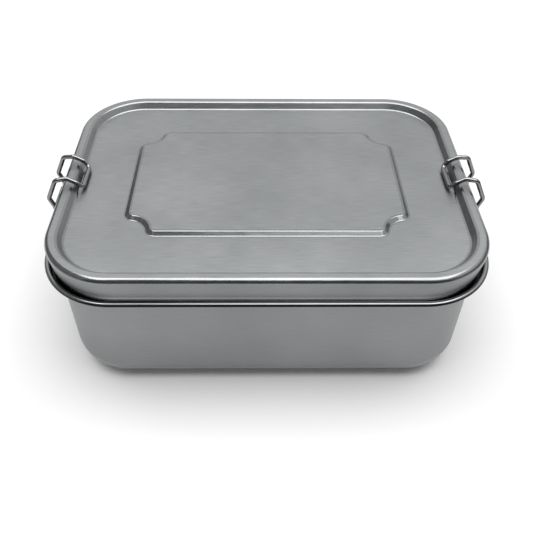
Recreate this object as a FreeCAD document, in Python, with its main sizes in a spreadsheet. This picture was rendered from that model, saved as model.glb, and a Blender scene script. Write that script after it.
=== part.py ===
"""Steel lunch box: a deep-drawn tub with a gutter rim, a stamped lid and two bent-wire clips on hinge plates.

The origin is at the middle of the base, +X runs along the long side, +Y away from the front and +Z up.
"""
import FreeCAD, Part
import math
import os

import Sketcher

from FreeCAD import Placement, Rotation, Vector

# Driving sizes in millimetres, angles in degrees: name, value, what it measures.
SIZES = [
    ("rim_length", 180.0, "outside of the rim bead, along X"),
    ("rim_depth", 135.0, "outside of the rim bead, along Y"),
    ("rim_corner", 30.3, "plan radius of the rim bead's outside"),
    ("rim_height", 55.4, "top of the rim bead above the base"),
    ("gauge", 0.6, "thickness of the steel sheet"),
    ("bead_size", 2.2, "thickness of the rolled rim bead"),
    ("bead_bend", 1.0, "rounding of the rim bead's edges"),
    ("gutter_bend", 0.3, "inside bend between gutter floor and rim bead"),
    ("mouth_bend", 1.2, "bend from the wall's inside to the gutter floor"),
    ("wall_inset", 5.15, "rim bead's outside to the wall's outside"),
    ("wall_neck", 1.0, "upright strip of wall below the mouth bend"),
    ("wall_draft", 0.1, "slope of the walls from upright"),
    ("base_radius", 12.8, "outside radius between base and walls"),
    ("lid_gap", 0.35, "gap from the skirt's lower edge to the rim bead and to the gutter floor"),
    ("lid_corner", 28.6, "plan radius of the lid's crest"),
    ("skirt_corner", 29.9, "plan radius of the skirt's lower edge"),
    ("skirt_lean", 0.55, "inward lean of the skirt down to its lower edge"),
    ("skirt_strip", 0.6, "upright strip of skirt below the crest's rounding"),
    ("lid_rise", 10.6, "rim bead's top up to the lid's crest"),
    ("ridge_width", 4.6, "skirt's outside to the inner edge of the lid's crest"),
    ("ridge_flank", 2.2, "run of the ridge's sloping inner side"),
    ("shoulder_radius", 1.7, "outer rounding of the lid's crest"),
    ("ridge_radius", 1.6, "inner rounding of the lid's crest"),
    ("panel_drop", 3.2, "lid's crest down to its panel"),
    ("foot_radius", 1.2, "rounding between ridge and panel"),
    ("foot_strip", 3.0, "strip of panel formed with the ridge"),
    ("plaque_length", 117.4, "raised plaque at its foot, along X"),
    ("plaque_depth", 74.4, "raised plaque at its foot, along Y"),
    ("plaque_rise", 1.2, "height of the raised plaque"),
    ("plaque_flank", 2.0, "run of the plaque's sloping edge"),
    ("plaque_notch", 7.8, "radius of the plaque's hollow corners"),
    ("plaque_inset", 2.0, "plaque's sides in to the middle of its hollow corners"),
    ("plaque_ear", 4.0, "rounding beside the plaque's hollow corners"),
    ("plaque_edge", 0.8, "rounding along the plaque's top edge and foot"),
    ("wire_size", 2.0, "diameter of the clip wire"),
    ("pivot_reach", 2.6, "rim bead's outside to the clip's pivot"),
    ("pivot_drop", 2.8, "rim bead's top down to the clip's pivot"),
    ("pin_fit", 0.05, "gap between the wire and its knuckle all round"),
    ("pin_inset", 1.5, "middle of the knuckle to each wire end"),
    ("leg_spread", 9.2, "middle of the clip to each leg at the pivot"),
    ("arch_spread", 8.0, "middle of the clip to each leg over the lid"),
    ("neck_rise", 3.0, "pivot up to the leg's bend beside the rim"),
    ("neck_reach", 0.2, "pivot out to the leg's bend beside the rim"),
    ("bulge_rise", 7.2, "pivot up to the leg's furthest bend"),
    ("bulge_reach", 1.7, "pivot out to the leg's furthest bend"),
    ("shoulder_reach", 1.9, "lid's skirt out to the leg's bend above it"),
    ("shoulder_rise", 2.7, "lid's crest up to the leg's outer bend"),
    ("arch_reach", 1.6, "crest's inner edge out to the leg's top bend"),
    ("arch_rise", 3.3, "lid's crest up to the leg's top bend"),
    ("knee_reach", 2.4, "crest's inner edge in to the leg's knee"),
    ("knee_rise", 1.0, "lid's crest up to the leg's knee"),
    ("bar_reach", 4.3, "crest's inner edge in to the clip's bar"),
    ("bar_gap", 0.5, "gap between the clip's bar and the panel"),
    ("bar_length", 15.2, "clip's bar between the corners of its bends"),
    ("bend_radius", 2.3, "bends of the clip wire, at the wire's middle"),
    ("knuckle_length", 13.6, "rolled knuckle along Y"),
    ("plate_width", 22.0, "hinge plate along Y"),
    ("plate_height", 14.0, "hinge plate down the wall"),
    ("plate_corner", 3.0, "rounded corners of the hinge plate"),
    ("plate_bend", 0.6, "inside bend from the hinge plate to its strap"),
]

# Two places closer than this, in millimetres, count as the same place.
TOUCH = 1e-4

# Signs of X and Y in the four quarters of a plan, in turn round it.
QUARTERS = [(1, 1), (-1, 1), (-1, -1), (1, -1)]

doc = FreeCAD.newDocument("lunch_box")
box = doc.addObject("Spreadsheet::Sheet", "box")
for row, (alias, value, meaning) in enumerate(SIZES, start=1):
    box.set(f"A{row}", meaning)
    box.set(f"B{row}", str(value))
    box.setAlias(f"B{row}", alias)
doc.recompute()

# Places worked out from the driving sizes. The X places hold on the right-hand end.
EDGE_X = "box.rim_length / 2"
EDGE_Y = "box.rim_depth / 2"
WALL_X = "(box.rim_length / 2 - box.wall_inset)"
LEDGE_Z = "(box.rim_height - box.bead_size)"
GUTTER_Z = f"({LEDGE_Z} + box.gauge)"
NECK_Z = f"({GUTTER_Z} - box.mouth_bend - box.wall_neck)"
BASE_INSET = f"(box.wall_inset + tan(box.wall_draft) * {NECK_Z})"
FLOOR_INSET = f"(box.wall_inset + box.gauge + tan(box.wall_draft) * ({NECK_Z} - box.gauge))"
LID_INSET = "(box.bead_size + box.lid_gap - box.skirt_lean)"
SKIRT_X = f"(box.rim_length / 2 - {LID_INSET})"
SKIRT_Z = f"({GUTTER_Z} + box.lid_gap)"
CREST_Z = "(box.rim_height + box.lid_rise)"
STRIP_Z = f"({CREST_Z} - box.shoulder_radius - box.skirt_strip)"
PANEL_Z = f"({CREST_Z} - box.panel_drop)"
RIDGE_X = f"({SKIRT_X} - box.ridge_width)"
FOOT_X = f"({RIDGE_X} - box.ridge_flank)"
PIVOT_X = "(box.rim_length / 2 + box.pivot_reach)"
PIVOT_Z = "(box.rim_height - box.pivot_drop)"
BAR_Z = f"({PANEL_Z} + box.bar_gap + box.wire_size / 2)"
BORE = "(box.wire_size / 2 + box.pin_fit)"
KNUCKLE = f"({BORE} + box.gauge)"


def size(expression):
    """Value of an expression of the sheet, as a plain number."""
    return float(box.evalExpression(expression))


def add_body(label):
    body = doc.addObject("PartDesign::Body", label)
    body.Label = label
    return body


def add_sketch(body, name, role, height=None):
    """Sketch on one of the body's own origin planes, raised by height."""
    sketch = body.newObject("Sketcher::SketchObject", name)
    plane = next(item for item in body.Origin.OriginFeatures if item.Role == role)
    sketch.AttachmentSupport = (plane, "")
    sketch.MapMode = "FlatFace"
    if height:
        sketch.setExpression("AttachmentOffset.Base.z", height)
    return sketch


def bind(sketch, constraint, expression):
    """Add a sized constraint that follows an expression of the sheet."""
    index = sketch.addConstraint(constraint)
    sketch.setExpression(f"Constraints[{index}]", expression)


def pin(sketch, item, end, x, y):
    """Hold one end of a line, or a point, at a place from the sketch's origin."""
    bind(sketch, Sketcher.Constraint("DistanceX", -1, 1, item, end, size(x)), x)
    bind(sketch, Sketcher.Constraint("DistanceY", -1, 1, item, end, size(y)), y)


def add_arc(sketch, centre, radius, start, end):
    """Arc between two points the short way round; returns it with its ends at start and end."""
    angles = [math.atan2(point.y - centre.y, point.x - centre.x) for point in (start, end)]
    ends = (1, 2)
    if (angles[1] - angles[0]) % (2 * math.pi) > math.pi:
        angles.reverse()
        ends = (2, 1)
    if angles[1] < angles[0]:
        angles[1] += 2 * math.pi
    circle = Part.Circle(centre, Vector(0, 0, 1), radius)
    return sketch.addGeometry(Part.ArcOfCircle(circle, *angles)), ends


def draw_outline(sketch, corners):
    """Closed outline through corners of (x, y, rounding), with no rounding at a sharp corner."""
    points = [Vector(size(x), size(y), 0) for x, y, _ in corners]
    count = len(points)
    turns = []
    for index, (point, (_, _, rounding)) in enumerate(zip(points, corners)):
        back = (points[index - 1] - point).normalize()
        ahead = (points[(index + 1) % count] - point).normalize()
        if rounding is None:
            turns.append((point, point, None))
            continue
        radius = size(rounding)
        half_turn = back.getAngle(ahead) / 2
        reach = radius / math.tan(half_turn)
        centre = point + (back + ahead).normalize() * (radius / math.sin(half_turn))
        turns.append((point + back * reach, point + ahead * reach, centre))
    lines = []
    for index in range(count):
        leave = turns[index][1]
        arrive = turns[(index + 1) % count][0]
        lines.append(sketch.addGeometry(Part.LineSegment(leave, arrive)))
    for index, (x, y, rounding) in enumerate(corners):
        before, after = lines[index - 1], lines[index]
        arrive, leave, centre = turns[index]
        if rounding is None:
            sketch.addConstraint(Sketcher.Constraint("Coincident", before, 2, after, 1))
            pin(sketch, after, 1, x, y)
            continue
        arc, (first, last) = add_arc(sketch, centre, size(rounding), arrive, leave)
        sketch.addConstraint(Sketcher.Constraint("Tangent", before, 2, arc, first))
        sketch.addConstraint(Sketcher.Constraint("Tangent", arc, last, after, 1))
        bind(sketch, Sketcher.Constraint("Radius", arc, size(rounding)), rounding)
        corner = sketch.addGeometry(Part.Point(points[index]), True)
        pin(sketch, corner, 1, x, y)
        sketch.addConstraint(Sketcher.Constraint("PointOnObject", corner, 1, before))
        sketch.addConstraint(Sketcher.Constraint("PointOnObject", corner, 1, after))


def draw_rectangle(sketch, inset, corner):
    """Rounded rectangle, inset from the rim's outside, starting at the middle of the right-hand side."""
    x = f"({EDGE_X} - {inset})"
    y = f"({EDGE_Y} - {inset})"
    draw_outline(sketch, [
        (x, "0", None),
        (x, y, corner),
        (f"-{x}", y, corner),
        (f"-{x}", f"-{y}", corner),
        (x, f"-{y}", corner),
    ])


def flip(point, quarter):
    """Point of the first quarter of a plan carried into another quarter."""
    return Vector(point.x * quarter[0], point.y * quarter[1], 0)


def draw_plaque(sketch, inset):
    """Plaque outline with hollow corners between rounded ears, inset from the plaque's foot."""
    x_text = f"(box.plaque_length / 2 - {inset})"
    y_text = f"(box.plaque_depth / 2 - {inset})"
    notch_text = f"(box.plaque_notch + {inset})"
    ear_text = f"(box.plaque_ear - {inset})"
    notch_x = "(box.plaque_length / 2 - box.plaque_inset)"
    notch_y = "(box.plaque_depth / 2 - box.plaque_inset)"
    x, y, notch, ear = (size(text) for text in (x_text, y_text, notch_text, ear_text))
    middle = Vector(size(notch_x), size(notch_y), 0)
    ear_reach = notch + ear
    side_ear = Vector(x - ear, middle.y - math.sqrt(ear_reach**2 - (middle.x - x + ear) ** 2), 0)
    long_ear = Vector(middle.x - math.sqrt(ear_reach**2 - (middle.y - y + ear) ** 2), y - ear, 0)
    side_touch = middle + (side_ear - middle) * (notch / ear_reach)
    long_touch = middle + (long_ear - middle) * (notch / ear_reach)
    corner = [
        (side_ear, ear, Vector(x, side_ear.y, 0), side_touch),
        (middle, notch, side_touch, long_touch),
        (long_ear, ear, long_touch, Vector(long_ear.x, y, 0)),
    ]
    chain = []
    for quarter in QUARTERS:
        steps = [(flip(c, quarter), r, flip(a, quarter), flip(b, quarter)) for c, r, a, b in corner]
        if quarter[0] != quarter[1]:
            steps = [(c, r, b, a) for c, r, a, b in reversed(steps)]
        chain.append(steps)
    pieces = []
    for steps, following, (sign_x, sign_y) in zip(chain, chain[1:] + chain[:1], QUARTERS):
        for centre, radius, start, end in steps:
            arc, ends = add_arc(sketch, centre, radius, start, end)
            pieces.append((arc, ends))
            if radius == notch:
                bind(sketch, Sketcher.Constraint("Radius", arc, notch), notch_text)
                pin(sketch, arc, 3, f"{sign_x} * {notch_x}", f"{sign_y} * {notch_y}")
            else:
                bind(sketch, Sketcher.Constraint("Radius", arc, ear), ear_text)
        line = sketch.addGeometry(Part.LineSegment(steps[-1][3], following[0][2]))
        pieces.append((line, (1, 2)))
        if sign_x == sign_y:
            sketch.addConstraint(Sketcher.Constraint("Horizontal", line))
            text = f"{sign_y} * {y_text}"
            bind(sketch, Sketcher.Constraint("DistanceY", -1, 1, line, 1, size(text)), text)
        else:
            sketch.addConstraint(Sketcher.Constraint("Vertical", line))
            text = f"{sign_x} * {x_text}"
            bind(sketch, Sketcher.Constraint("DistanceX", -1, 1, line, 1, size(text)), text)
    for (one, one_ends), (other, other_ends) in zip(pieces, pieces[1:] + pieces[:1]):
        sketch.addConstraint(Sketcher.Constraint("Tangent", one, one_ends[1], other, other_ends[0]))


def add_pipe(body, name, section, path):
    """Carry a section once round a closed path."""
    pipe = body.newObject("PartDesign::AdditivePipe", name)
    pipe.Profile = section
    pipe.Spine = (path, [""])
    return pipe


def add_pad(body, name, sketch, length, midplane=False):
    pad = body.newObject("PartDesign::Pad", name)
    pad.Profile = sketch
    pad.setExpression("Length", length)
    pad.Midplane = midplane
    return pad


def add_loft(body, name, kind, lower, upper):
    loft = body.newObject(f"PartDesign::{kind}", name)
    loft.Profile = lower
    loft.Sections = [upper]
    loft.Ruled = True
    return loft


def add_fillet(body, name, base, edges, radius):
    fillet = body.newObject("PartDesign::Fillet", name)
    fillet.Base = (base, edges)
    fillet.setExpression("Radius", radius)
    return fillet


def level_edges(feature, height, reach=None):
    """Names of the edges that lie flat at a height, within reach of the middle along X."""
    names = []
    for index, edge in enumerate(feature.Shape.Edges, start=1):
        bounds = edge.BoundBox
        flat = abs(bounds.ZMin - height) < TOUCH and abs(bounds.ZMax - height) < TOUCH
        near = reach is None or max(abs(bounds.XMin), abs(bounds.XMax)) < reach
        if flat and near:
            names.append(f"Edge{index}")
    return names


def make_tub():
    """Drawn tub: drafted walls with a rounded base, shelled to the gauge, under a gutter rim with a bead."""
    body = add_body("tub")
    base = add_sketch(body, "tub_base", "XY_Plane")
    draw_rectangle(base, BASE_INSET, f"(box.rim_corner - {BASE_INSET})")
    walls = add_pad(body, "tub_walls", base, NECK_Z)
    walls.setExpression("TaperAngle", "box.wall_draft")
    floor = add_sketch(body, "tub_floor", "XY_Plane", "box.gauge")
    draw_rectangle(floor, FLOOR_INSET, f"(box.rim_corner - {FLOOR_INSET})")
    hollow = body.newObject("PartDesign::Pocket", "tub_hollow")
    hollow.Profile = floor
    hollow.setExpression("Length", f"{NECK_Z} - box.gauge")
    hollow.setExpression("TaperAngle", "box.wall_draft")
    hollow.Reversed = True
    doc.recompute()
    if hollow.Shape.Volume > walls.Shape.Volume / 2:
        raise RuntimeError("the tub's hollow cuts the wrong way")
    floor_edges = level_edges(hollow, size("box.gauge"))
    inner = add_fillet(body, "tub_floor_rounding", hollow, floor_edges, "box.base_radius - box.gauge")
    doc.recompute()
    add_fillet(body, "tub_base_rounding", inner, level_edges(inner, 0.0), "box.base_radius")
    path = add_sketch(body, "tub_rim_path", "XY_Plane")
    draw_rectangle(path, "0", "box.rim_corner")
    section = add_sketch(body, "tub_rim_section", "XZ_Plane")
    inside = f"({WALL_X} - box.gauge)"
    upstand = f"({EDGE_X} - box.bead_size)"
    draw_outline(section, [
        (inside, NECK_Z, None),
        (inside, GUTTER_Z, "box.mouth_bend"),
        (upstand, GUTTER_Z, "box.gutter_bend"),
        (upstand, "box.rim_height", "box.bead_bend"),
        (EDGE_X, "box.rim_height", "box.bead_bend"),
        (EDGE_X, LEDGE_Z, "box.bead_bend"),
        (WALL_X, LEDGE_Z, "(box.mouth_bend - box.gauge)"),
        (WALL_X, NECK_Z, None),
    ])
    add_pipe(body, "tub_rim", section, path)
    return body


def make_lid():
    """Stamped lid: a leaning skirt turned over a ridge into a sunk panel with a blank raised plaque."""
    body = add_body("lid")
    edges = [
        ("lower", SKIRT_Z, f"({LID_INSET} + box.skirt_lean)", "box.skirt_corner"),
        ("upper", STRIP_Z, LID_INSET, "box.lid_corner"),
    ]
    outside = []
    inside = []
    for name, height, inset, corner in edges:
        outside.append(add_sketch(body, f"skirt_{name}", "XY_Plane", height))
        draw_rectangle(outside[-1], inset, corner)
        inside.append(add_sketch(body, f"skirt_{name}_inside", "XY_Plane", height))
        draw_rectangle(inside[-1], f"({inset} + box.gauge)", f"({corner} - box.gauge)")
    add_loft(body, "skirt", "AdditiveLoft", *outside)
    add_loft(body, "skirt_hollow", "SubtractiveLoft", *inside)
    path = add_sketch(body, "lid_path", "XY_Plane")
    draw_rectangle(path, LID_INSET, "box.lid_corner")
    section = add_sketch(body, "lid_section", "XZ_Plane")
    strip = f"({FOOT_X} - box.foot_strip)"
    flank_lean = "(box.gauge * tan(atan(box.panel_drop / box.ridge_flank) / 2))"
    draw_outline(section, [
        (SKIRT_X, STRIP_Z, None),
        (SKIRT_X, CREST_Z, "box.shoulder_radius"),
        (RIDGE_X, CREST_Z, "box.ridge_radius"),
        (FOOT_X, PANEL_Z, "box.foot_radius"),
        (strip, PANEL_Z, None),
        (strip, f"({PANEL_Z} - box.gauge)", None),
        (f"({FOOT_X} + {flank_lean})", f"({PANEL_Z} - box.gauge)", "(box.foot_radius + box.gauge)"),
        (f"({RIDGE_X} + {flank_lean})", f"({CREST_Z} - box.gauge)", "(box.ridge_radius - box.gauge)"),
        (f"({SKIRT_X} - box.gauge)", f"({CREST_Z} - box.gauge)", "(box.shoulder_radius - box.gauge)"),
        (f"({SKIRT_X} - box.gauge)", STRIP_Z, None),
    ])
    add_pipe(body, "lid_ridge", section, path)
    ridge = "(box.ridge_width + box.ridge_flank + box.foot_strip)"
    panel = add_sketch(body, "lid_panel_outline", "XY_Plane", f"{PANEL_Z} - box.gauge")
    draw_rectangle(panel, f"({LID_INSET} + {ridge})", f"(box.lid_corner - {ridge})")
    add_pad(body, "lid_panel", panel, "box.gauge")
    lean = "(box.gauge * tan(atan(box.plaque_rise / box.plaque_flank) / 2))"
    lower = add_sketch(body, "plaque_foot", "XY_Plane", PANEL_Z)
    draw_plaque(lower, "0")
    upper = add_sketch(body, "plaque_top", "XY_Plane", f"{PANEL_Z} + box.plaque_rise")
    draw_plaque(upper, "box.plaque_flank")
    add_loft(body, "plaque", "AdditiveLoft", lower, upper)
    under_lower = add_sketch(body, "plaque_hollow_foot", "XY_Plane", f"{PANEL_Z} - box.gauge")
    draw_plaque(under_lower, lean)
    under_upper = add_sketch(
        body, "plaque_hollow_top", "XY_Plane", f"{PANEL_Z} - box.gauge + box.plaque_rise"
    )
    draw_plaque(under_upper, f"({lean} + box.plaque_flank)")
    hollow = add_loft(body, "plaque_hollow", "SubtractiveLoft", under_lower, under_upper)
    doc.recompute()
    reach = size("box.plaque_length / 2") + TOUCH
    top_edges = level_edges(hollow, size(f"{PANEL_Z} + box.plaque_rise"), reach)
    crown = add_fillet(body, "plaque_top_rounding", hollow, top_edges, "box.plaque_edge")
    doc.recompute()
    foot_edges = level_edges(crown, size(PANEL_Z), reach)
    add_fillet(body, "plaque_foot_rounding", crown, foot_edges, "box.plaque_edge")
    return body


def draw_circle(sketch, x, y, radius):
    circle = sketch.addGeometry(Part.Circle(Vector(size(x), size(y), 0), Vector(0, 0, 1), size(radius)))
    pin(sketch, circle, 3, x, y)
    bind(sketch, Sketcher.Constraint("Radius", circle, size(radius)), radius)


def make_hinge_plate(label):
    """Hinge plate welded to the right-hand wall: an upright plate, a strap and a knuckle rolled from it."""
    body = add_body(label)
    strap_low = f"({PIVOT_Z} - {KNUCKLE})"
    strap_high = f"({strap_low} + box.gauge)"
    plate_low = f"({strap_high} - box.plate_height)"
    plate_high = f"({strap_low} - box.plate_bend)"
    back_low = f"({WALL_X} - tan(box.wall_draft) * ({NECK_Z} - {plate_low}))"
    back_high = f"({WALL_X} - tan(box.wall_draft) * ({NECK_Z} - {plate_high}))"
    plate = add_sketch(body, f"{label}_plate_section", "XZ_Plane")
    draw_outline(plate, [
        (back_high, plate_high, None),
        (f"({back_high} + box.gauge)", plate_high, None),
        (f"({back_low} + box.gauge)", plate_low, None),
        (back_low, plate_low, None),
    ])
    upright = add_pad(body, f"{label}_plate", plate, "box.plate_width", True)
    doc.recompute()
    side = size("box.plate_width / 2")
    corners = [
        f"Edge{index}"
        for index, edge in enumerate(upright.Shape.Edges, start=1)
        if edge.Length < 2 * size("box.gauge") and abs(abs(edge.CenterOfMass.y) - side) < TOUCH
    ]
    add_fillet(body, f"{label}_corners", upright, corners, "box.plate_corner")
    strap = add_sketch(body, f"{label}_strap_section", "XZ_Plane")
    draw_outline(strap, [
        (back_high, strap_high, "(box.plate_bend + box.gauge)"),
        (PIVOT_X, strap_high, None),
        (PIVOT_X, strap_low, None),
        (f"({back_high} + box.gauge)", strap_low, "box.plate_bend"),
        (f"({back_high} + box.gauge)", f"({plate_high} - box.plate_corner)", None),
        (back_high, f"({plate_high} - box.plate_corner)", None),
    ])
    add_pad(body, f"{label}_strap", strap, "box.knuckle_length", True)
    knuckle = add_sketch(body, f"{label}_knuckle_section", "XZ_Plane")
    draw_circle(knuckle, PIVOT_X, PIVOT_Z, KNUCKLE)
    add_pad(body, f"{label}_knuckle", knuckle, "box.knuckle_length", True)
    bore = add_sketch(body, f"{label}_bore_section", "XZ_Plane")
    draw_circle(bore, PIVOT_X, PIVOT_Z, BORE)
    pocket = body.newObject("PartDesign::Pocket", f"{label}_bore")
    pocket.Profile = bore
    pocket.Type = "ThroughAll"
    pocket.Midplane = True
    return body


def clip_corners():
    """Corners of the right-hand clip's wire at its middle line, from one wire end to the other."""
    middle_spread = "(box.leg_spread + box.arch_spread) / 2"
    places = [
        (PIVOT_X, "box.pin_inset", PIVOT_Z),
        (PIVOT_X, "box.leg_spread", PIVOT_Z),
        (f"{PIVOT_X} + box.neck_reach", "box.leg_spread", f"{PIVOT_Z} + box.neck_rise"),
        (f"{PIVOT_X} + box.bulge_reach", "box.leg_spread", f"{PIVOT_Z} + box.bulge_rise"),
        (f"{SKIRT_X} + box.shoulder_reach", middle_spread, f"{CREST_Z} + box.shoulder_rise"),
        (f"{RIDGE_X} + box.arch_reach", "box.arch_spread", f"{CREST_Z} + box.arch_rise"),
        (f"{RIDGE_X} - box.knee_reach", "box.arch_spread", f"{CREST_Z} + box.knee_rise"),
        (f"{RIDGE_X} - box.bar_reach", "box.bar_length / 2", BAR_Z),
    ]
    far = [Vector(size(x), size(y), size(z)) for x, y, z in places]
    near = [Vector(corner.x, -corner.y, corner.z) for corner in reversed(far)]
    return far + near


def bent_path(corners, radius):
    """Wire path of straight runs joined by tangent arcs."""
    edges = []
    start = corners[0]
    for before, corner, after in zip(corners, corners[1:], corners[2:]):
        back = (before - corner).normalize()
        ahead = (after - corner).normalize()
        half_turn = back.getAngle(ahead) / 2
        reach = radius / math.tan(half_turn)
        middle = corner + (back + ahead).normalize() * (radius / math.sin(half_turn) - radius)
        edges.append(Part.LineSegment(start, corner + back * reach).toShape())
        edges.append(Part.Arc(corner + back * reach, middle, corner + ahead * reach).toShape())
        start = corner + ahead * reach
    edges.append(Part.LineSegment(start, corners[-1]).toShape())
    return Part.Wire(edges)


def make_clip(label):
    """Right-hand clip: one length of round wire bent over the lid, its two ends turned into the knuckle."""
    path = doc.addObject("Part::Feature", f"{label}_path")
    path.Shape = bent_path(clip_corners(), size("box.bend_radius"))
    section = doc.addObject("Part::Circle", f"{label}_section")
    section.setExpression("Radius", "box.wire_size / 2")
    start = path.Shape.Vertexes[0].Point
    section.Placement = Placement(start, Rotation(Vector(0, 0, 1), Vector(0, 1, 0)))
    clip = doc.addObject("Part::Sweep", label)
    clip.Label = label
    clip.Sections = [section]
    clip.Spine = (path, [f"Edge{index}" for index in range(1, len(path.Shape.Edges) + 1)])
    clip.Solid = True
    clip.Frenet = False
    return clip


def make_mirror(label, source):
    """Left-hand copy of a right-hand piece."""
    mirror = doc.addObject("Part::Mirroring", label)
    mirror.Label = label
    mirror.Source = source
    mirror.Normal = Vector(1, 0, 0)
    return mirror


right_plate = make_hinge_plate("right_hinge_plate")
right_clip = make_clip("right_clip")
pieces = [
    make_tub(),
    make_lid(),
    right_plate,
    make_mirror("left_hinge_plate", right_plate),
    right_clip,
    make_mirror("left_clip", right_clip),
]
doc.recompute()

for item in doc.Objects:
    if "Invalid" in item.State or "Error" in item.State:
        raise RuntimeError(f"{item.Name} failed: {item.State}")
for piece in pieces:
    if piece.Shape.isNull() or not piece.Shape.isValid():
        raise RuntimeError(f"{piece.Label} has no valid shape")

os.makedirs("parts", exist_ok=True)
for piece in pieces:
    piece.Shape.exportStep(f"parts/{piece.Label}.step")
    bounds = piece.Shape.BoundBox
    print(piece.Label, len(piece.Shape.Solids), round(piece.Shape.Volume, 2), bounds)
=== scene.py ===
"""Looks of the steel lunch box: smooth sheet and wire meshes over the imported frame, studio and camera.

Sizes of the box are in millimetres; the studio is in metres, as every object is in Blender.
"""

import math
from collections import namedtuple

import bpy
from mathutils import Matrix, Vector


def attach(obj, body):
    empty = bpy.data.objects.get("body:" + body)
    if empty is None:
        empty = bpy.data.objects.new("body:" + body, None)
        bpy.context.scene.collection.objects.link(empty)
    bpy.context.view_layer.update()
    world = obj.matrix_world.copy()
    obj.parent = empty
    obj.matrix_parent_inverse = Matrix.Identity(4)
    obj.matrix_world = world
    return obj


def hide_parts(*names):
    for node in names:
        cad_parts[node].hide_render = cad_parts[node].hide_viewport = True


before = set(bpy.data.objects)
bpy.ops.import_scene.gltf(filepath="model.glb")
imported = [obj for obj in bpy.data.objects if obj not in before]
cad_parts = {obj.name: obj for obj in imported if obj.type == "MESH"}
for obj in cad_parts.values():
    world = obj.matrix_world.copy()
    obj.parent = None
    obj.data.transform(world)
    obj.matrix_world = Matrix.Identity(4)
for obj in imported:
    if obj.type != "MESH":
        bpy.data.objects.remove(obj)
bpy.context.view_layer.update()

MM = 0.001

# Sizes that the part's source has too, under the same names in lower case.
RIM_LENGTH = 180.0
RIM_DEPTH = 135.0
RIM_CORNER = 30.3
RIM_HEIGHT = 55.4
GAUGE = 0.6
BEAD_SIZE = 2.2
GUTTER_BEND = 0.3
MOUTH_BEND = 1.2
WALL_INSET = 5.15
WALL_NECK = 1.0
WALL_DRAFT = math.radians(0.1)
BASE_RADIUS = 12.8
LID_GAP = 0.35
LID_CORNER = 28.6
SKIRT_CORNER = 29.9
SKIRT_LEAN = 0.55
SKIRT_STRIP = 0.6
LID_RISE = 10.6
RIDGE_WIDTH = 4.6
RIDGE_FLANK = 2.2
SHOULDER_RADIUS = 1.7
RIDGE_RADIUS = 1.6
PANEL_DROP = 3.2
FOOT_RADIUS = 1.2
FOOT_STRIP = 3.0
PLAQUE_LENGTH = 117.4
PLAQUE_DEPTH = 74.4
PLAQUE_RISE = 1.2
PLAQUE_FLANK = 2.0
PLAQUE_NOTCH = 7.8
PLAQUE_INSET = 2.0
PLAQUE_EAR = 4.0
WIRE_SIZE = 2.0
PIVOT_REACH = 2.6
PIVOT_DROP = 2.8
PIN_INSET = 1.5
LEG_SPREAD = 9.2
ARCH_SPREAD = 8.0
NECK_RISE = 3.0
NECK_REACH = 0.2
BULGE_RISE = 7.2
BULGE_REACH = 1.7
SHOULDER_REACH = 1.9
SHOULDER_RISE = 2.7
ARCH_REACH = 1.6
ARCH_RISE = 3.3
KNEE_REACH = 2.4
KNEE_RISE = 1.0
BAR_REACH = 4.3
BAR_GAP = 0.5
BAR_LENGTH = 15.2
BEND_RADIUS = 2.3

# Places that follow from those sizes.
RIM_X = RIM_LENGTH / 2
RIM_Y = RIM_DEPTH / 2
BEAD_FOOT = RIM_HEIGHT - BEAD_SIZE
LID_INSET = BEAD_SIZE + LID_GAP - SKIRT_LEAN
CREST_X = RIM_X - LID_INSET
CREST_Y = RIM_Y - LID_INSET
CREST_Z = RIM_HEIGHT + LID_RISE
PANEL_Z = CREST_Z - PANEL_DROP
RIDGE_X = CREST_X - RIDGE_WIDTH
FOOT_X = RIDGE_X - RIDGE_FLANK

# Finer sizes of the tub, most of them for how its gutter and bead reflect.
BASE_FLAT = 70.0  # half length of the flat that caps the base
NECK_BEND = 3.0
GUTTER_DROP = 0.9  # bead's foot down to the ledge under the gutter
LEDGE_BEND = 0.6
STEP_RUN = 0.5  # run of the step from the ledge up to the bead
STEP_BEND = 0.4
UNDERCUT = 0.1  # bead's lip out to where its underside starts
CHAMFER_RUN = 1.1
CHAMFER_RISE = 0.9
CHAMFER_BEND = 0.25
BEAD_ROLL = 1.05
BEAD_SHADE = math.radians(35.0)  # lower part of the bead's roll, painted dark as shade
BEAD_LIP = 0.75

# Finer sizes of the lid, for how its skirt, ridge and plaque reflect.
HEM = 0.5  # upright strip at the skirt's lower edge
HEM_BEND = 0.27
WAIST_INSET = 0.44  # crest's outline in to the waist's
WAIST_CORNER = 29.6
WAIST_STEP = 0.8
CREST_SHOULDER = 2.1
CREST_EDGE = 1.5
CREST_EASE = 0.1  # crest's inner edge, further in than the part's
OUTER_LIFT = 0.05  # crest's outer edge above the part's
INNER_LIFT = -0.02  # crest's inner edge above the part's
PLAQUE_APRON = 0.9  # plaque's outline out to the panel's mesh
UNDER_APRON = 0.3  # the same on the underside
PLAQUE_TOP = 2.6  # plaque's outline in to the flat that caps it
PLAQUE_LIFT = 0.2  # plaque's top above the part's
FLANK_FOOT = 0.15  # plaque's outline out to the foot of its flank
FLANK_TOP = 1.6  # plaque's outline in to the top of its flank
FLANK_BEND = 0.9
UNDER_BEND = 0.5

# How far the skirt's normals tip up, from its hem up its waist, and how polished the waist is.
FLARES = [math.radians(degrees) for degrees in (18.0, 18.0, 15.0, 5.0, 0.0)]
WAIST_POLISH = (0.6, 0.6, 0.3, 0.0)

# Painted shade on a bend, from none to all: near-black painted into creases, the gutter and under the bead,
# where shade falls.
NO_PAINTED_SHADE = 0.0
FAINT_PAINTED_SHADE = 0.2
HALF_PAINTED_SHADE = 0.5
FULL_PAINTED_SHADE = 1.0

# How finely the meshes are divided, and where bends count as tight and sheet as level.
BEND_STEP = math.radians(7.5)
EAR_STEPS = 6
NOTCH_STEPS = 14
CORNER_STEPS = 2 * EAR_STEPS + NOTCH_STEPS
WIRE_SIDES = 20
SCREEN_STEPS = 24
TIGHT_BEND = 1.15
LEVEL = 0.5

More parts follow.
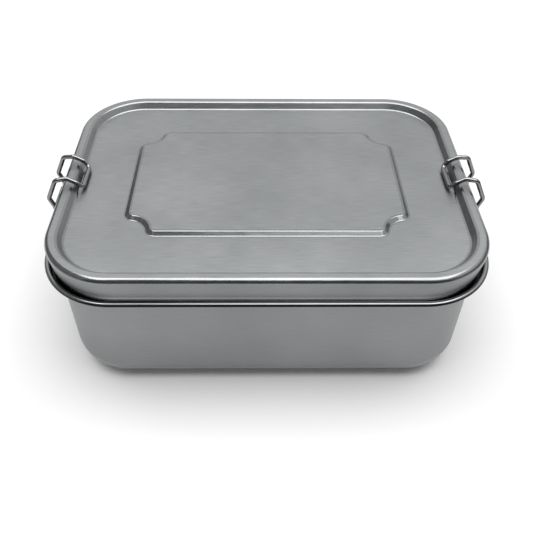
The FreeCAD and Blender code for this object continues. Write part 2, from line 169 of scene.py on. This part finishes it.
# Signs of x and y in the four quarters, going round.
QUARTERS = ((1, 1), (-1, 1), (-1, -1), (1, -1))

# Steel: dark and light tones, roughness of flats and bends, and how fine the brushing is along and across.
LID_TONES = ((0.21, 0.218, 0.222), (0.28, 0.288, 0.292))
SHEET_TONES = ((0.235, 0.243, 0.247), (0.295, 0.303, 0.307))
WIRE_TONES = ((0.21, 0.21, 0.21), (0.27, 0.27, 0.27))
# Near-black painted into the gutter, creases and under the bead as painted shade.
PAINTED_SHADE_TONE = (0.015, 0.015, 0.015)
LID_ROUGHNESS = (0.36, 0.2)
TUB_ROUGHNESS = (0.45, 0.14)
PLATE_ROUGHNESS = (0.36, 0.36)
WIRE_ROUGHNESS = (0.1, 0.1)
SHEET_STREAK = (120.0, 2200.0, 1.0)
PLATE_STREAK = (2200.0, 120.0, 2200.0)  # by place, so along Y
WIRE_STREAK = (60.0, 3000.0, 1.0)
LID_ANISOTROPY = 0.6
TUB_ANISOTROPY = 0.3
ACROSS_BRUSHING = 0.25
BRUSH_NOISE = [("Scale", 1.0), ("Detail", 4.0), ("Roughness", 0.6)]
CLOUD_NOISE = [("Scale", 22.0), ("Detail", 2.0)]
TONE_RANGE = (0.7, 1.3)
GRAIN_RANGE = (0.3, 0.7)
GRAIN_ROUGHNESS = (-0.04, 0.04)
POLISH_RANGE = (0.0, 0.6)
RELIEF = [("Strength", 0.06), ("Distance", 0.0001)]

# Studio, in metres.
FLOOR_SPAN = 4.0
FLOOR_Z = -0.0003
FLOOR_TONE = 0.96
FLOOR_FADE = (0.2, 0.6)
DARK_TONE = 0.16
GREY_TONE = 0.4
MATTE_ROUGHNESS = 0.9
SCREEN_FOOT = 0.03
FRONT_SCREEN = {"spread": math.radians(48.0), "radius": 0.3, "height": 0.55, "slant": 0.85}
SIDE_SCREEN = {"spread": math.radians(120.0), "radius": 0.32, "height": 0.36, "slant": 0.5}
LEFT_CARD_X = -1.0
LEFT_CARD_Y = (-0.2, 1.4)
LEFT_CARD_Z = (0.0, 0.7)
SOFTBOX_PLACE = (0.05, 0.0, 2.5)
SOFTBOX_SIZE = (3.5, 2.25)
SOFTBOX_WATTS = 79.0
WORLD_ON_MATTE = 0.28
WORLD_SEEN = 1.0

# Camera fitted to the photo: place, lens and sensor in millimetres, turns in radians, near limit in metres.
CAMERA_PLACE = (-3.5941, -227.5228, 233.154)
CAMERA_YAW = 0.0172874
CAMERA_PITCH = 0.7776339
CAMERA_ROLL = 0.0115508
CAMERA_LENS = 43.102
CAMERA_SENSOR = 36.0
CAMERA_NEAR = 0.01

Ring = namedtuple("Ring", "points normals marks planar")


def profile_corner(out, up, rounding=0.0, painted_shade=NO_PAINTED_SHADE):
    """Corner of a profile, with the rounding of its bend and the painted shade on it."""
    return Vector((out, up)), rounding, painted_shade


def polish(radius, share):
    """How polished a bend is at a share of its turn: all of a tight one, the middle of a wider one."""
    return 1.0 if radius < TIGHT_BEND else math.sin(math.pi * share)


def bend(corners):
    """Points (out, up, normal out, normal up, bent, painted shade) along a profile whose corners are
    rounded.
    """
    places = [place for place, _, _ in corners]
    runs = [(after - before).normalized() for before, after in zip(places, places[1:])]
    points = [(*places[0], runs[0].y, -runs[0].x, 0.0, corners[0][2])]
    for (place, radius, painted_shade), before, after in zip(corners[1:-1], runs, runs[1:]):
        turn = math.atan2(before.x * after.y - before.y * after.x, before.dot(after))
        start = place - before * (radius * math.tan(abs(turn) / 2))
        across = Vector((before.y, -before.x))
        swell = math.copysign(radius, turn)
        centre = start - across * swell
        steps = max(2, math.ceil(abs(turn) / BEND_STEP))
        for step in range(steps + 1):
            normal = Matrix.Rotation(turn * step / steps, 2) @ across
            spot = centre + normal * swell
            points.append((*spot, *normal, polish(radius, step / steps), painted_shade))
    points.append((*places[-1], runs[-1].y, -runs[-1].x, 0.0, corners[-1][2]))
    return points


def rim_outline(half_length, half_depth, radius):
    """Rounded rectangle as spokes (centre x, centre y, way x, way y, base radius, growth, facing)."""
    spokes = []
    for index, (sign_x, sign_y) in enumerate(QUARTERS):
        centre = (sign_x * (half_length - radius), sign_y * (half_depth - radius))
        for step in range(CORNER_STEPS + 1):
            angle = math.pi / 2 * (index + step / CORNER_STEPS)
            spokes.append((*centre, math.cos(angle), math.sin(angle), radius - half_length, 1.0, 1.0))
    return spokes


def plaque_outline():
    """Plaque with hollow corners between rounded ears, as spokes like those of rim_outline."""
    half_length = PLAQUE_LENGTH / 2
    half_depth = PLAQUE_DEPTH / 2
    reach = PLAQUE_NOTCH + PLAQUE_EAR
    tilt = math.asin((PLAQUE_EAR - PLAQUE_INSET) / reach)
    sweep = math.pi / 2 - tilt
    hollow = (half_length - PLAQUE_INSET, half_depth - PLAQUE_INSET)
    side_ear = (half_length - PLAQUE_EAR, hollow[1] - reach * math.cos(tilt))
    long_ear = (hollow[0] - reach * math.cos(tilt), half_depth - PLAQUE_EAR)
    quarter = []
    for step in range(EAR_STEPS):
        quarter.append((*side_ear, sweep * step / EAR_STEPS, PLAQUE_EAR, 1.0, 1.0))
    for step in range(NOTCH_STEPS + 1):
        angle = math.pi + sweep - (sweep - tilt) * step / NOTCH_STEPS
        quarter.append((*hollow, angle, PLAQUE_NOTCH, -1.0, -1.0))
    for step in range(1, EAR_STEPS + 1):
        quarter.append((*long_ear, tilt + sweep * step / EAR_STEPS, PLAQUE_EAR, 1.0, 1.0))
    spokes = []
    for sign_x, sign_y in QUARTERS:
        turned = [
            (sign_x * x, sign_y * y, sign_x * math.cos(angle), sign_y * math.sin(angle), *rest)
            for x, y, angle, *rest in quarter
        ]
        spokes.extend(turned if sign_x == sign_y else reversed(turned))
    return spokes


def rings(outline, profile, stamped=False):
    """Rings round an outline, one for each point of a profile; stamped sheet is planar where level."""
    made = []
    for out, up, normal_out, normal_up, *marks in profile:
        points = []
        normals = []
        for x, y, way_x, way_y, base, growth, facing in outline:
            reach = base + growth * out
            points.append(Vector((x + way_x * reach, y + way_y * reach, up)) * MM)
            outward = facing * normal_out
            normals.append(Vector((way_x * outward, way_y * outward, normal_up)))
        made.append(Ring(points, normals, marks, stamped and abs(normal_up) > LEVEL))
    return made


def stack_mesh(name, count, points, normals, marks, spot):
    """Closed mesh round rings of count points each, with spot(row, ring, step) as its UV map."""
    faces = []
    spots = []
    last = len(points) - count
    for row in range(last // count):
        for step in range(count):
            quad = ((row, step), (row, step + 1), (row + 1, step + 1), (row + 1, step))
            faces.append([ring * count + place % count for ring, place in quad])
            spots.extend(spot(row, ring, place) for ring, place in quad)
    faces.append(list(reversed(range(count))))
    faces.append(list(range(last, last + count)))
    for cap in faces[-2:]:
        spots.extend(points[place].xy for place in cap)
    mesh = bpy.data.meshes.new(name)
    mesh.from_pydata(points, [], faces)
    layer = mesh.uv_layers.new(name="brushing")
    for loop, place in enumerate(spots):
        layer.data[loop].uv = place
    # The second mark is painted shade: how far the base colour is darkened towards near-black.
    for kind, values in zip(("bent", "painted_shade"), zip(*marks)):
        mesh.attributes.new(kind, "FLOAT", "POINT").data.foreach_set("value", values)
    mesh.shade_smooth()
    mesh.normals_split_custom_set_from_vertices(normals)
    piece = bpy.data.objects.new(name, mesh)
    bpy.context.scene.collection.objects.link(piece)
    return piece


def skin(name, stack):
    """Closed sheet through a stack of rings, brushed round its outline or, where it is planar, along X."""
    count = len(stack[0].points)
    points = [point for ring in stack for point in ring.points]
    normals = [normal for ring in stack for normal in ring.normals]
    marks = [ring.marks for ring in stack for _ in ring.points]
    widest = max(stack, key=lambda ring: max(point.x for point in ring.points)).points
    around = [0.0]
    for before, after in zip(widest, widest[1:] + widest[:1]):
        around.append(around[-1] + (after - before).length)
    along = [0.0]
    for lower, upper in zip(stack, stack[1:]):
        along.append(along[-1] + (upper.points[0] - lower.points[0]).length)

    def spot(row, ring, step):
        if stack[row].planar or stack[row + 1].planar:
            return points[ring * count + step % count].xy
        return around[step], along[ring]

    return stack_mesh(name, count, points, normals, marks, spot)


def make_tub():
    """Drawn tub from the underside of its base, up the wall, round the gutter and bead, and down inside."""
    wall = RIM_X - WALL_INSET
    inside = wall - GAUGE
    neck = BEAD_FOOT + GAUGE - MOUTH_BEND - WALL_NECK
    draft = math.tan(WALL_DRAFT)
    ledge = BEAD_FOOT - GUTTER_DROP
    gutter = ledge + GAUGE
    lip = RIM_X - BEAD_SIZE
    under = lip + UNDERCUT
    shaded = BEAD_ROLL * math.tan(BEAD_SHADE / 2)
    bright = BEAD_ROLL * math.tan((math.pi / 2 - BEAD_SHADE) / 2)
    # Corners marked with shade get painted shade: the ledge, step, gutter, mouth, chamfer and the bead's
    # lower roll are darkened to near-black where shade falls; the bead's inner lip a little.
    profile = bend([
        profile_corner(BASE_FLAT, 0.0),
        profile_corner(wall - draft * neck, 0.0, BASE_RADIUS),
        profile_corner(wall, neck, NECK_BEND),
        profile_corner(wall, ledge, LEDGE_BEND, FULL_PAINTED_SHADE),
        profile_corner(under - STEP_RUN, ledge, STEP_BEND, FULL_PAINTED_SHADE),
        profile_corner(under, BEAD_FOOT, GUTTER_BEND, FULL_PAINTED_SHADE),
        profile_corner(RIM_X - CHAMFER_RUN, BEAD_FOOT, GUTTER_BEND, FULL_PAINTED_SHADE),
        profile_corner(RIM_X, BEAD_FOOT + CHAMFER_RISE, CHAMFER_BEND, FULL_PAINTED_SHADE),
        profile_corner(RIM_X, RIM_HEIGHT - BEAD_ROLL + shaded, BEAD_ROLL, FULL_PAINTED_SHADE),
        profile_corner(RIM_X - BEAD_ROLL + bright, RIM_HEIGHT, BEAD_ROLL),
        profile_corner(lip, RIM_HEIGHT, BEAD_LIP, FAINT_PAINTED_SHADE),
        profile_corner(lip, gutter, GUTTER_BEND, FULL_PAINTED_SHADE),
        profile_corner(inside, gutter, MOUTH_BEND, FULL_PAINTED_SHADE),
        profile_corner(inside, neck, NECK_BEND),
        profile_corner(inside - draft * (neck - GAUGE), GAUGE, BASE_RADIUS - GAUGE),
        profile_corner(BASE_FLAT, GAUGE),
    ])
    return skin("tub_sheet", rings(rim_outline(RIM_X, RIM_Y, RIM_CORNER), profile))


def lean(upper, lower):
    """Tilt the normals of two rings to the sloping sheet between them."""
    for index, (high, low) in enumerate(zip(upper.points, lower.points)):
        slope = (high - low).normalized()
        for ring in (upper, lower):
            normal = ring.normals[index]
            ring.normals[index] = (normal - slope * normal.dot(slope)).normalized()


def flare(ring, angle):
    """Tip the normals of a ring upward, as on an edge that opens outward between its corners."""
    for index, normal in enumerate(ring.normals):
        level = Vector((normal.x, normal.y, 0.0)).normalized()
        tip = angle * abs(level.x ** 2 - level.y ** 2)
        ring.normals[index] = level * math.cos(tip) + Vector((0.0, 0.0, math.sin(tip)))


def plaque_rings():
    """Rings of the plaque's underside and of its top."""
    outline = plaque_outline()
    sheet = PANEL_Z - GAUGE
    shift = GAUGE * math.tan(math.atan2(PLAQUE_RISE, PLAQUE_FLANK) / 2)
    top = PANEL_Z + PLAQUE_RISE + PLAQUE_LIFT
    under = bend([
        profile_corner(-PLAQUE_TOP, sheet + PLAQUE_RISE),
        profile_corner(-PLAQUE_FLANK - shift, sheet + PLAQUE_RISE, UNDER_BEND),
        profile_corner(-shift, sheet, UNDER_BEND),
        profile_corner(UNDER_APRON, sheet),
    ])
    over = bend([
        profile_corner(PLAQUE_APRON, PANEL_Z),
        profile_corner(FLANK_FOOT, PANEL_Z, FLANK_BEND),
        profile_corner(-FLANK_TOP, top, FLANK_BEND),
        profile_corner(-PLAQUE_TOP, top),
    ])
    return rings(outline, under, stamped=True), rings(outline, over, stamped=True)


def ridge_rings(strip):
    """Rings of the ridge's underside, planar only along the panel, and of its top."""
    outline = rim_outline(CREST_X, CREST_Y, LID_CORNER)
    shift = GAUGE * math.tan(math.atan2(PANEL_DROP, RIDGE_FLANK) / 2)
    under = bend([
        profile_corner(FOOT_X - FOOT_STRIP, PANEL_Z - GAUGE),
        profile_corner(FOOT_X + shift, PANEL_Z - GAUGE, FOOT_RADIUS + GAUGE),
        profile_corner(RIDGE_X + shift, CREST_Z - GAUGE, RIDGE_RADIUS - GAUGE),
        profile_corner(CREST_X - GAUGE, CREST_Z - GAUGE, SHOULDER_RADIUS - GAUGE),
        profile_corner(CREST_X - GAUGE, strip),
    ])
    over = bend([
        profile_corner(CREST_X, strip),
        profile_corner(CREST_X, CREST_Z + OUTER_LIFT, CREST_SHOULDER),
        profile_corner(RIDGE_X - CREST_EASE, CREST_Z + INNER_LIFT, CREST_EDGE),
        profile_corner(FOOT_X, PANEL_Z, FOOT_RADIUS),
        profile_corner(FOOT_X - FOOT_STRIP, PANEL_Z),
    ])
    under_rings = rings(outline, under)
    under_rings[0] = under_rings[0]._replace(planar=True)
    return under_rings, rings(outline, over, stamped=True)


def skirt_rings(strip):
    """Rings round the skirt's hem, and rings up its waist, which leans out to its strip."""
    edge = CREST_X - SKIRT_LEAN
    foot = BEAD_FOOT + GAUGE + LID_GAP
    # The hem's lower bend, down by the gutter, gets half painted shade.
    hem = bend([
        profile_corner(edge - GAUGE, foot + HEM),
        profile_corner(edge - GAUGE, foot, HEM_BEND, HALF_PAINTED_SHADE),
        profile_corner(edge, foot, HEM_BEND, HALF_PAINTED_SHADE),
        profile_corner(edge, foot + HEM),
    ])
    waist = []
    for index, bent in enumerate(WAIST_POLISH):
        up = RIM_HEIGHT + WAIST_STEP * index
        share = (up - foot - HEM) / (strip - foot - HEM)
        waist.append((edge + SKIRT_LEAN * share, up, 1.0, 0.0, bent, NO_PAINTED_SHADE))
    hem_outline = rim_outline(edge, CREST_Y - SKIRT_LEAN, SKIRT_CORNER)
    waist_outline = rim_outline(CREST_X - WAIST_INSET, CREST_Y - WAIST_INSET, WAIST_CORNER)
    return rings(hem_outline, hem), rings(waist_outline, waist)


def make_lid():
    """Stamped lid from the plaque's underside, under the ridge, round the skirt and back over the top."""
    strip = CREST_Z - SHOULDER_RADIUS - SKIRT_STRIP
    under_plaque, over_plaque = plaque_rings()
    under_ridge, over_ridge = ridge_rings(strip)
    hem, waist = skirt_rings(strip)
    for ring, angle in zip([hem[-1]] + waist, FLARES):
        flare(ring, angle)
    lean(under_ridge[-1], hem[0])
    lean(over_ridge[0], waist[-1])
    return skin("lid_sheet", under_plaque + under_ridge + hem + waist + over_ridge + over_plaque)


def clip_corners(sign):
    """Corners of a clip's wire, from one end in the knuckle up over the lid and back to the other end."""
    pivot_x = RIM_X + PIVOT_REACH
    pivot_z = RIM_HEIGHT - PIVOT_DROP
    leg = [
        (pivot_x, PIN_INSET, pivot_z),
        (pivot_x, LEG_SPREAD, pivot_z),
        (pivot_x + NECK_REACH, LEG_SPREAD, pivot_z + NECK_RISE),
        (pivot_x + BULGE_REACH, LEG_SPREAD, pivot_z + BULGE_RISE),
        (CREST_X + SHOULDER_REACH, (LEG_SPREAD + ARCH_SPREAD) / 2, CREST_Z + SHOULDER_RISE),
        (RIDGE_X + ARCH_REACH, ARCH_SPREAD, CREST_Z + ARCH_RISE),
        (RIDGE_X - KNEE_REACH, ARCH_SPREAD, CREST_Z + KNEE_RISE),
        (RIDGE_X - BAR_REACH, BAR_LENGTH / 2, PANEL_Z + BAR_GAP + WIRE_SIZE / 2),
    ]
    whole = leg + [(x, -y, z) for x, y, z in reversed(leg)]
    return [Vector((sign * x, y, z)) for x, y, z in whole]


def bent_wire(corners):
    """Points along a wire of straight runs joined by round bends, with the way it runs at each."""
    route = [(corners[0], (corners[1] - corners[0]).normalized())]
    for before, place, after in zip(corners, corners[1:], corners[2:]):
        arrive = (place - before).normalized()
        leave = (after - place).normalized()
        turn = arrive.angle(leave)
        start = place - arrive * (BEND_RADIUS * math.tan(turn / 2))
        axis = arrive.cross(leave).normalized()
        centre = start + axis.cross(arrive) * BEND_RADIUS
        steps = max(2, math.ceil(turn / BEND_STEP))
        for step in range(steps + 1):
            swing = Matrix.Rotation(turn * step / steps, 3, axis)
            route.append((centre + swing @ (start - centre), swing @ arrive))
    route.append((corners[-1], (corners[-1] - corners[-2]).normalized()))
    return route


def make_clip(name, sign):
    """Bent wire clip: two legs from the knuckle over the ridge to a bar in the sunk panel."""
    route = bent_wire(clip_corners(sign))
    radius = WIRE_SIZE / 2
    turn = 2 * math.pi / WIRE_SIDES
    side = Vector((0, 0, 1))
    points = []
    normals = []
    along = []
    travelled = 0.0
    previous, before = route[0]
    for place, way in route:
        travelled += (place - previous).length * MM
        along.append(travelled)
        side = before.rotation_difference(way) @ side
        side = (side - way * side.dot(way)).normalized()
        for step in range(WIRE_SIDES):
            normal = Matrix.Rotation(turn * step, 3, way) @ side
            points.append((place + normal * radius) * MM)
            normals.append(normal)
        previous, before = place, way

    def spot(_, ring, step):
        return along[ring], turn * step * radius * MM

    return stack_mesh(name, WIRE_SIDES, points, normals, [(0.0, NO_PAINTED_SHADE)] * len(points), spot)


def add_node(tree, kind, links=(), **values):
    """Node with the given properties, its inputs linked or set by name or number."""
    node = tree.nodes.new(kind)
    for name, value in values.items():
        setattr(node, name, value)
    for key, source in links:
        if isinstance(source, bpy.types.NodeSocket):
            tree.links.new(source, node.inputs[key])
        else:
            node.inputs[key].default_value = source
    return node


def calculate(tree, operation, first, second):
    """Result of an operation on two values."""
    return add_node(tree, "ShaderNodeMath", [(0, first), (1, second)], operation=operation).outputs[0]


def remap(tree, value, before, after, **values):
    """Value carried from one range to another."""
    links = [("Value", value)]
    links += zip(("From Min", "From Max", "To Min", "To Max"), (*before, *after))
    return add_node(tree, "ShaderNodeMapRange", links, **values).outputs["Result"]


def blend(tree, share, first, second):
    """Colour between two, by share."""
    links = [("Factor", share), ("A", first), ("B", second)]
    return add_node(tree, "ShaderNodeMix", links, data_type="RGBA").outputs["Result"]


def opaque(tone):
    """Colour of a tone for a socket."""
    return (*tone, 1.0)


def steel(name, tones, roughness, streak, anisotropy=0.0, mapped=True):
    """Steel brushed by its UV map, or by its place without one; roughness is that of flats and of bends."""
    material = bpy.data.materials.new(name)
    material.use_nodes = True
    tree = material.node_tree
    shader = tree.nodes["Principled BSDF"]
    place = add_node(tree, "ShaderNodeTexCoord").outputs["Object"]
    way = add_node(tree, "ShaderNodeUVMap", uv_map="brushing").outputs["UV"] if mapped else place
    fine = add_node(tree, "ShaderNodeMapping", [("Vector", way), ("Scale", streak)]).outputs["Vector"]
    brushing = add_node(tree, "ShaderNodeTexNoise", [("Vector", fine), *BRUSH_NOISE]).outputs["Fac"]
    cloud = add_node(tree, "ShaderNodeTexNoise", [("Vector", place), *CLOUD_NOISE]).outputs["Fac"]
    painted_shade = add_node(tree, "ShaderNodeAttribute", attribute_name="painted_shade").outputs["Fac"]
    bent = add_node(tree, "ShaderNodeAttribute", attribute_name="bent").outputs["Fac"]
    share = remap(tree, calculate(tree, "ADD", brushing, cloud), TONE_RANGE, (0.0, 1.0))
    unshaded_tone = blend(tree, share, opaque(tones[0]), opaque(tones[1]))
    # Base colour darkened towards near-black by the painted shade attribute, standing for shade in the
    # gutter and under the bead.
    tree.links.new(blend(tree, painted_shade, unshaded_tone, opaque(PAINTED_SHADE_TONE)), shader.inputs["Base Color"])
    dull = remap(tree, bent, POLISH_RANGE, roughness)
    grain = remap(tree, brushing, GRAIN_RANGE, GRAIN_ROUGHNESS)
    tree.links.new(calculate(tree, "ADD", dull, grain), shader.inputs["Roughness"])
    relief = add_node(tree, "ShaderNodeBump", [*RELIEF, ("Height", brushing)]).outputs["Normal"]
    tree.links.new(relief, shader.inputs["Normal"])
    if anisotropy:
        tangent = add_node(tree, "ShaderNodeTangent", direction_type="UV_MAP", uv_map="brushing")
        tree.links.new(tangent.outputs["Tangent"], shader.inputs["Tangent"])
        shader.inputs["Anisotropic"].default_value = anisotropy
        shader.inputs["Anisotropic Rotation"].default_value = ACROSS_BRUSHING
    shader.inputs["Metallic"].default_value = 1.0
    return material


def matte(name, tone):
    """Plain matte grey for the studio."""
    material = bpy.data.materials.new(name)
    material.use_nodes = True
    shader = material.node_tree.nodes["Principled BSDF"]
    shader.inputs["Base Color"].default_value = opaque((tone, tone, tone))
    shader.inputs["Roughness"].default_value = MATTE_ROUGHNESS
    shader.inputs["Specular IOR Level"].default_value = 0.0
    return material


def ray_seen(tree):
    """1 for a ray from the camera or from glossy metal, and 0 for the light that falls on matte things."""
    ray = add_node(tree, "ShaderNodeLightPath").outputs
    return calculate(tree, "MAXIMUM", ray["Is Camera Ray"], ray["Is Glossy Ray"])


def fade_to_white(material, distances):
    """Let a matte floor turn white between two distances from the box, for the camera and the steel."""
    tree = material.node_tree
    place = add_node(tree, "ShaderNodeNewGeometry").outputs["Position"]
    distance = add_node(tree, "ShaderNodeVectorMath", [(0, place)], operation="LENGTH").outputs["Value"]
    share = remap(tree, distance, distances, (0.0, 1.0), interpolation_type="SMOOTHSTEP")
    seen = calculate(tree, "MULTIPLY", share, ray_seen(tree))
    white = add_node(tree, "ShaderNodeEmission", [("Color", opaque((1.0, 1.0, 1.0)))]).outputs["Emission"]
    floor = tree.nodes["Principled BSDF"].outputs["BSDF"]
    both = add_node(tree, "ShaderNodeMixShader", [(0, seen), (1, floor), (2, white)]).outputs["Shader"]
    tree.links.new(both, tree.nodes["Material Output"].inputs["Surface"])
    return material


def add_stage_mesh(name, material, points, faces):
    """Mesh of the studio, in metres."""
    mesh = bpy.data.meshes.new(name)
    mesh.from_pydata(points, [], faces)
    mesh.materials.append(material)
    card = bpy.data.objects.new(name, mesh)
    bpy.context.scene.collection.objects.link(card)
    return card


def only_reflected(card):
    """Let a card show in the steel without being seen or taking light from the floor."""
    card.visible_camera = False
    card.visible_diffuse = False
    card.visible_shadow = False


def add_floor(material):
    """Flat floor just under the box."""
    quarters = [(x * FLOOR_SPAN, y * FLOOR_SPAN, FLOOR_Z) for x, y in QUARTERS]
    add_stage_mesh("floor", material, quarters, [range(len(quarters))])


def add_screen(name, material, spread, radius, height, slant):
    """Curved screen round the front, spread to either side and higher on the left by its slant."""
    count = SCREEN_STEPS + 1
    points = []
    for level in (SCREEN_FOOT, height):
        for step in range(count):
            angle = spread * (2 * step / SCREEN_STEPS - 1)
            up = level * (1 - slant * math.sin(angle))
            points.append((radius * math.sin(angle), -radius * math.cos(angle), up))
    faces = [(step, step + 1, step + count + 1, step + count) for step in range(SCREEN_STEPS)]
    only_reflected(add_stage_mesh(name, material, points, faces))


def add_left_card(material):
    """Upright card off to the left, reaching behind the box."""
    points = [(LEFT_CARD_X, y, z) for z in LEFT_CARD_Z for y in LEFT_CARD_Y]
    only_reflected(add_stage_mesh("left_card", material, points, [(0, 1, 3, 2)]))


def add_softbox():
    """Large soft lamp overhead, shining straight down."""
    light = bpy.data.lights.new("top_softbox", "AREA")
    light.shape = "RECTANGLE"
    light.size, light.size_y = SOFTBOX_SIZE
    light.energy = SOFTBOX_WATTS
    lamp = bpy.data.objects.new("top_softbox", light)
    lamp.location = SOFTBOX_PLACE
    bpy.context.scene.collection.objects.link(lamp)


def add_world():
    """White surroundings, dimmer for the light that falls on matte things."""
    world = bpy.data.worlds.new("studio")
    world.use_nodes = True
    tree = world.node_tree
    background = tree.nodes["Background"]
    background.inputs["Color"].default_value = opaque((1.0, 1.0, 1.0))
    strength = remap(tree, ray_seen(tree), (0.0, 1.0), (WORLD_ON_MATTE, WORLD_SEEN))
    tree.links.new(strength, background.inputs["Strength"])
    bpy.context.scene.world = world


def add_camera():
    """Camera looking along +Y, turned right by its yaw, down by its pitch, and rolled."""
    level = Vector((math.sin(CAMERA_YAW), math.cos(CAMERA_YAW), 0.0))
    ahead = level * math.cos(CAMERA_PITCH) - Vector((0.0, 0.0, math.sin(CAMERA_PITCH)))
    right = Vector((math.cos(CAMERA_YAW), -math.sin(CAMERA_YAW), 0.0))
    up = right.cross(ahead)
    tilted_right = right * math.cos(CAMERA_ROLL) + up * math.sin(CAMERA_ROLL)
    tilted_up = up * math.cos(CAMERA_ROLL) - right * math.sin(CAMERA_ROLL)
    turn = Matrix((tilted_right, tilted_up, -ahead)).transposed().to_4x4()
    data = bpy.data.cameras.new("camera")
    data.lens = CAMERA_LENS
    data.sensor_width = CAMERA_SENSOR
    data.clip_start = CAMERA_NEAR
    camera = bpy.data.objects.new("camera", data)
    camera.matrix_world = Matrix.Translation(Vector(CAMERA_PLACE) * MM) @ turn
    bpy.context.scene.collection.objects.link(camera)
    bpy.context.scene.camera = camera


# Steel of the four kinds of piece.
lid_steel = steel("satin_lid", LID_TONES, LID_ROUGHNESS, SHEET_STREAK, LID_ANISOTROPY)
tub_steel = steel("satin_tub", SHEET_TONES, TUB_ROUGHNESS, SHEET_STREAK, TUB_ANISOTROPY)
plate_steel = steel("satin_plate", SHEET_TONES, PLATE_ROUGHNESS, PLATE_STREAK, mapped=False)
wire_steel = steel("bright_wire", WIRE_TONES, WIRE_ROUGHNESS, WIRE_STREAK)

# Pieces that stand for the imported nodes, and the two nodes that are shown as packed.
for piece, node, material, slot in (
    (make_tub(), "tub", tub_steel, "tub_steel"),
    (make_lid(), "lid", lid_steel, "lid_steel"),
    (make_clip("left_clip_wire", -1), "left_clip", wire_steel, "wire_steel"),
    (make_clip("right_clip_wire", 1), "right_clip", wire_steel, "wire_steel"),
):
    piece.data.materials.append(material)
    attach(piece, node)
    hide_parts(node)
for node in ("left_hinge_plate", "right_hinge_plate"):
    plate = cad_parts[node]
    plate.data.materials.clear()
    plate.data.materials.append(plate_steel)

# Studio and camera.
dark = matte("studio_dark", DARK_TONE)
add_floor(fade_to_white(matte("studio_white", FLOOR_TONE), FLOOR_FADE))
add_screen("front_screen", dark, **FRONT_SCREEN)
add_screen("side_screen", matte("studio_grey", GREY_TONE), **SIDE_SCREEN)
add_left_card(dark)
add_softbox()
add_world()
add_camera()
bpy.context.scene.view_settings.view_transform = "Standard"
